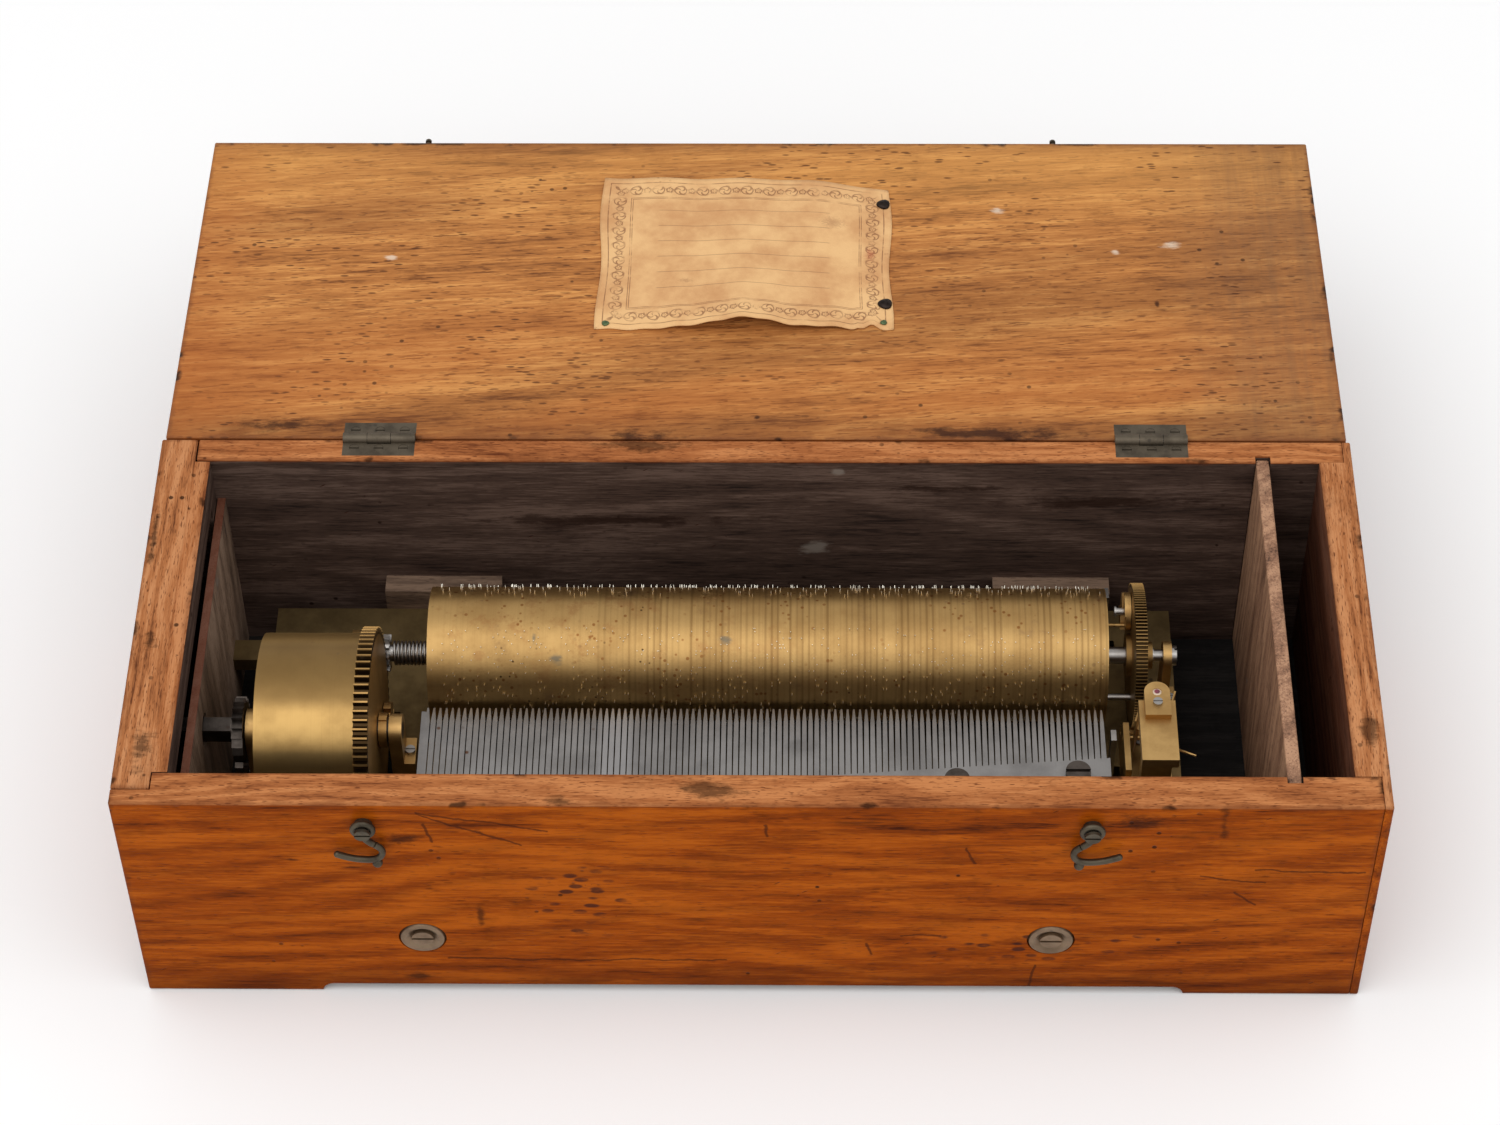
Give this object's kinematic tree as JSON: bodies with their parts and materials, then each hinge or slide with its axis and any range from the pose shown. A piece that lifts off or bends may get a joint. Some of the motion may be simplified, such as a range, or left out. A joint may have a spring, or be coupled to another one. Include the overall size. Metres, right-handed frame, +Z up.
{
  "type": "cylinder music box",
  "caption": "Key-wound cylinder music box in a wooden case with a hinged lid, end flap, pinned cylinder, steel comb, spring barrel and air-brake governor.",
  "frame": {"origin": "centre of the case's footprint on the surface that it stands on", "axes": "+X along the case to the right seen from the front, +Y to the back, where the lid is hinged, +Z up"},
  "size_m": [0.362, 0.2865, 0.0944],
  "materials": {
    "case_wood": "varnished, worn orange-brown",
    "lid_wood": "golden brown inside, dark flecks",
    "inner_wood": "very dark stained",
    "block_wood": "bare, grey-brown",
    "card": "aged card",
    "brass": "worn brass",
    "dark_brass": "dark patinated brass",
    "steel": "dull steel",
    "comb_steel": "blue-grey steel",
    "lead": "dull lead",
    "ruby": "polished jewel"
  },
  "bodies": {
    "case": {"front_panel": "case_wood", "back_panel": "case_wood", "right_panel": "case_wood", "bottom_board": "inner_wood", "left_partition": "inner_wood", "case_hinge_leaves": "brass", "hinge_pins": "steel", "case_hinge_screws": "steel", "hook_screws": "dark_brass", "bedplate": "brass", "spacer_blocks": "block_wood", "cup_washers": "brass", "bedplate_screws": "steel", "comb": "comb_steel", "comb_base": "comb_steel", "comb_screws": "steel", "tuning_weights": "lead", "arbor_bearings": "brass", "barrel_left_bridge": "brass", "barrel_right_bridge": "brass", "movement_screws": "steel", "governor_frame": "brass", "governor_cock": "brass", "governor_jewel": "ruby", "slider_guides": "brass"},
    "lid": {"lid_board": "lid_wood", "lid_hinge_leaves": "brass", "lid_hinge_screws": "steel", "tune_card": "card", "card_tacks": "steel", "lid_catch_pins": "dark_brass"},
    "flap": {"end_flap": "case_wood"},
    "divider": {"divider_board": "inner_wood"},
    "left_hook": {"hook_left": "dark_brass"},
    "right_hook": {"hook_right": "dark_brass"},
    "arbor": {"cylinder_arbor": "steel", "arbor_pinion": "steel", "great_wheel": "brass", "drive_pin": "steel", "change_stud": "steel", "cylinder_spring": "steel"},
    "cylinder_body": {"cylinder": "brass", "cylinder_caps": "brass"},
    "snail": {"change_snail": "brass"},
    "barrel": {"spring_barrel": "brass", "barrel_cover": "brass", "barrel_gear": "brass", "mainspring": "steel"},
    "cross": {"stop_cross": "steel"},
    "winding": {"barrel_arbor": "steel", "ratchet_wheel": "steel", "stop_finger": "steel"},
    "click_body": {"click": "steel"},
    "first_wheel": {"first_governor_wheel": "brass"},
    "second_wheel": {"second_governor_wheel": "brass"},
    "fly_body": {"endless_screw": "steel", "fly": "brass"},
    "stop_lever": {"stop_slider": "steel"},
    "change_lever": {"change_slider": "steel"}
  },
  "joints": [
    {"name": "lid_hinge", "type": "hinge", "parent": "case", "child": "lid", "pos_m": [0, 0.06985, 0.09265], "axis": [-1, 0, 0], "range_deg": [-183, 0]},
    {"name": "flap_hinge", "type": "hinge", "parent": "case", "child": "flap", "pos_m": [-0.176, 0, 0.009], "axis": [0, -1, 0], "range_deg": [0, 90]},
    {"name": "divider_lift", "type": "slide", "parent": "case", "child": "divider", "axis": [0, 0, 1], "range_m": [0, 0.085]},
    {"name": "left_hook_turn", "type": "hinge", "parent": "case", "child": "left_hook", "pos_m": [-0.1096, -0.0717, 0.0835], "axis": [0, 1, 0], "range_deg": [-20, 175]},
    {"name": "right_hook_turn", "type": "hinge", "parent": "case", "child": "right_hook", "pos_m": [0.0968, -0.0717, 0.0835], "axis": [0, -1, 0], "range_deg": [-20, 175]},
    {"name": "arbor_turn", "type": "hinge", "parent": "case", "child": "arbor", "pos_m": [0, 0.0169, 0.054], "axis": [1, 0, 0], "continuous": true},
    {"name": "tune_shift", "type": "slide", "parent": "arbor", "child": "cylinder_body", "axis": [-1, 0, 0], "range_m": [0, 0.00141], "stiffness_N_per_m": 400, "springref_m": -0.002, "deforming": ["cylinder_spring"]},
    {"name": "snail_turn", "type": "hinge", "parent": "arbor", "child": "snail", "pos_m": [0, 0.02638, 0.06348], "axis": [1, 0, 0], "range_deg": [0, 270.5]},
    {"name": "barrel_turn", "type": "hinge", "parent": "case", "child": "barrel", "pos_m": [0, -0.0175, 0.06], "axis": [1, 0, 0], "continuous": true},
    {"name": "stop_cross_turn", "type": "hinge", "parent": "barrel", "child": "cross", "pos_m": [0, -0.00817, 0.05067], "axis": [1, 0, 0], "continuous": true},
    {"name": "winding_turn", "type": "hinge", "parent": "case", "child": "winding", "pos_m": [0, -0.0175, 0.06], "axis": [1, 0, 0], "continuous": true},
    {"name": "click_turn", "type": "hinge", "parent": "case", "child": "click_body", "pos_m": [0, -0.0207, 0.044], "axis": [1, 0, 0], "range_deg": [-6.5, 8]},
    {"name": "first_wheel_turn", "type": "hinge", "parent": "case", "child": "first_wheel", "pos_m": [0, -0.00049, 0.03834], "axis": [1, 0, 0], "continuous": true},
    {"name": "second_wheel_turn", "type": "hinge", "parent": "case", "child": "second_wheel", "pos_m": [0, -0.00659, 0.0437], "axis": [1, 0, 0], "continuous": true},
    {"name": "fly_turn", "type": "hinge", "parent": "case", "child": "fly_body", "pos_m": [0.1189, -0.01369, 0], "axis": [0, 0, 1], "continuous": true},
    {"name": "stop_slide", "type": "slide", "parent": "case", "child": "stop_lever", "axis": [1, 0, 0], "range_m": [0, 0.002]},
    {"name": "change_slide", "type": "slide", "parent": "case", "child": "change_lever", "axis": [1, 0, 0], "range_m": [0, 0.0025]}
  ],
  "couplings": [
    {"joint": "barrel_turn", "follows": "arbor_turn", "ratio": -0.16667},
    {"joint": "stop_cross_turn", "follows": "arbor_turn", "ratio": -0.041667},
    {"joint": "first_wheel_turn", "follows": "arbor_turn", "ratio": -12},
    {"joint": "second_wheel_turn", "follows": "arbor_turn", "ratio": 75},
    {"joint": "fly_turn", "follows": "arbor_turn", "ratio": 3000},
    {"joint": "snail_turn", "follows": "tune_shift", "rad_per_m": 3342.1}
  ]
}
